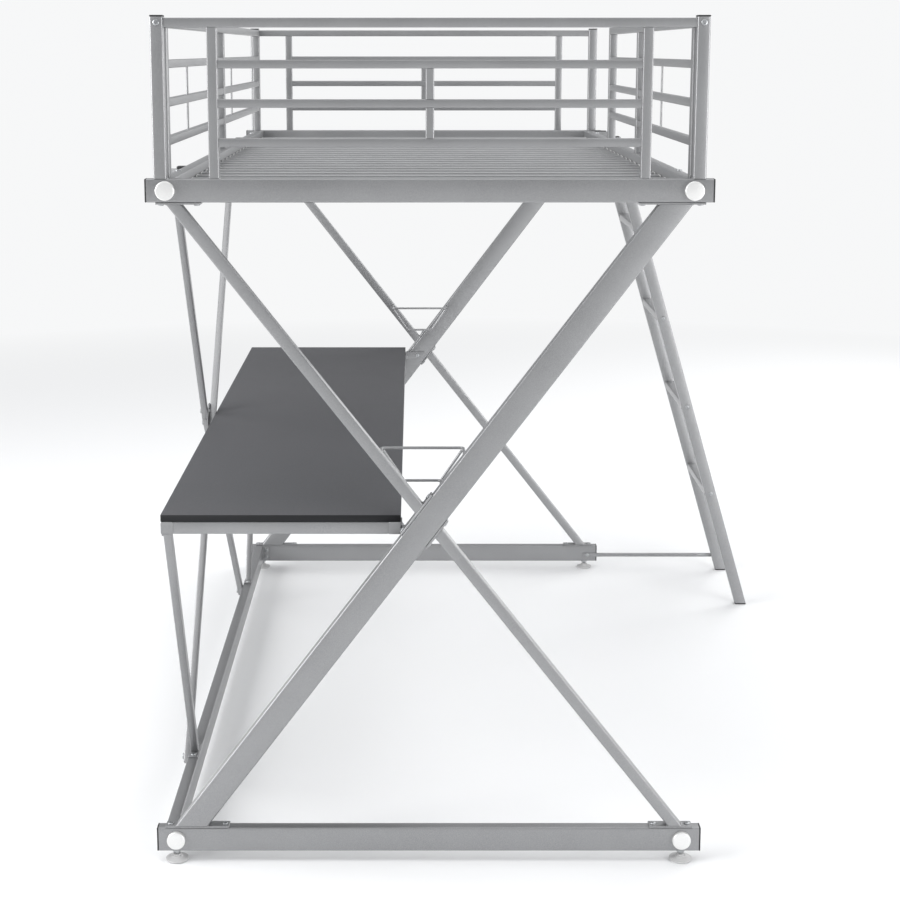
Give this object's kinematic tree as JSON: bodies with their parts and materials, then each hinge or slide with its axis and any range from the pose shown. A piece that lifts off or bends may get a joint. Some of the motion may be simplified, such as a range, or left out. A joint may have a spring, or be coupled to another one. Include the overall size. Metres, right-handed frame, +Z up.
{
  "type": "loft bed with desk",
  "caption": "Single loft bed of square steel tube: slatted deck with guards on X-shaped end frames, a long desk hung between them, side cross braces and a slanting ladder.",
  "frame": {"origin": "on the floor, under the middle of the box round the whole object; the bed's own centre line is 194 mm to its left because the ladder stands out on the right", "axes": "+Z up, +Y along the bed from the near end frame to the far one, +X from the wall side towards the ladder"},
  "size_m": [1.5344, 1.991, 1.695],
  "materials": {
    "frame_paint": "satin silver-grey metallic paint",
    "black_plastic": "fine-grained black",
    "zinc_steel": "zinc plated",
    "cover_cap_metal": "pale brushed",
    "desk_laminate": "charcoal laminate on board, low sheen",
    "pale_plastic": "pale grey plastic",
    "foot_plastic": "light grey plastic"
  },
  "bodies": {
    "frame": {"near_base_rail": "frame_paint", "far_base_rail": "frame_paint", "near_bed_rail": "frame_paint", "far_bed_rail": "frame_paint", "near_thick_leg": "frame_paint", "far_thick_leg": "frame_paint", "near_upper_brace": "frame_paint", "far_upper_brace": "frame_paint", "near_lower_brace": "frame_paint", "far_lower_brace": "frame_paint", "left_side_rail": "frame_paint", "right_side_rail": "frame_paint", "slats": "frame_paint", "near_guard": "frame_paint", "far_guard": "frame_paint", "left_guard": "frame_paint", "right_guard": "frame_paint", "desk_frame": "frame_paint", "desk_straps": "frame_paint", "near_desk_leg": "frame_paint", "far_desk_leg": "frame_paint", "stretcher": "frame_paint", "straight_side_brace": "frame_paint", "split_brace_lower": "frame_paint", "split_brace_upper": "frame_paint", "brace_joint_plate": "frame_paint", "near_stile": "frame_paint", "far_stile": "frame_paint", "ladder_treads": "frame_paint", "ladder_hooks": "frame_paint", "ladder_strut": "frame_paint", "near_wire_rack": "frame_paint", "far_wire_rack": "frame_paint", "rail_end_caps": "black_plastic", "post_caps": "black_plastic", "stile_caps": "black_plastic", "brace_spacers": "black_plastic", "frame_screws": "zinc_steel", "guard_screws": "zinc_steel", "desk_screws": "zinc_steel", "wall_side_screws": "zinc_steel", "ladder_screws": "zinc_steel", "rail_bolts": "zinc_steel", "rail_nut_plates": "zinc_steel", "foot_lock_nuts": "zinc_steel", "foot_inserts": "zinc_steel", "cover_caps": "cover_cap_metal", "desk_top": "desk_laminate", "slat_end_plugs": "pale_plastic"},
    "near_left_stem": {"near_left_foot_stem": "zinc_steel"},
    "near_left_pad": {"near_left_foot_pad": "foot_plastic"},
    "near_right_stem": {"near_right_foot_stem": "zinc_steel"},
    "near_right_pad": {"near_right_foot_pad": "foot_plastic"},
    "far_left_stem": {"far_left_foot_stem": "zinc_steel"},
    "far_left_pad": {"far_left_foot_pad": "foot_plastic"},
    "far_right_stem": {"far_right_foot_stem": "zinc_steel"},
    "far_right_pad": {"far_right_foot_pad": "foot_plastic"}
  },
  "joints": [
    {"name": "near_left_foot_travel", "type": "slide", "parent": "frame", "child": "near_left_stem", "axis": [0, 0, 1], "range_m": [-0.012, 0]},
    {"name": "near_left_foot_turn", "type": "hinge", "parent": "near_left_stem", "child": "near_left_pad", "pos_m": [-0.70798, -0.9725, 0], "axis": [0, 0, 1], "range_deg": [-3456.5, 0]},
    {"name": "near_right_foot_travel", "type": "slide", "parent": "frame", "child": "near_right_stem", "axis": [0, 0, 1], "range_m": [-0.012, 0]},
    {"name": "near_right_foot_turn", "type": "hinge", "parent": "near_right_stem", "child": "near_right_pad", "pos_m": [0.32002, -0.9725, 0], "axis": [0, 0, 1], "range_deg": [-3456.5, 0]},
    {"name": "far_left_foot_travel", "type": "slide", "parent": "frame", "child": "far_left_stem", "axis": [0, 0, 1], "range_m": [-0.012, 0]},
    {"name": "far_left_foot_turn", "type": "hinge", "parent": "far_left_stem", "child": "far_left_pad", "pos_m": [-0.70798, 0.9725, 0], "axis": [0, 0, 1], "range_deg": [-3456.5, 0]},
    {"name": "far_right_foot_travel", "type": "slide", "parent": "frame", "child": "far_right_stem", "axis": [0, 0, 1], "range_m": [-0.012, 0]},
    {"name": "far_right_foot_turn", "type": "hinge", "parent": "far_right_stem", "child": "far_right_pad", "pos_m": [0.32002, 0.9725, 0], "axis": [0, 0, 1], "range_deg": [-3456.5, 0]}
  ],
  "couplings": [
    {"joint": "near_left_foot_turn", "follows": "near_left_foot_travel", "rad_per_m": 5026.5},
    {"joint": "near_right_foot_turn", "follows": "near_right_foot_travel", "rad_per_m": 5026.5},
    {"joint": "far_left_foot_turn", "follows": "far_left_foot_travel", "rad_per_m": 5026.5},
    {"joint": "far_right_foot_turn", "follows": "far_right_foot_travel", "rad_per_m": 5026.5}
  ]
}
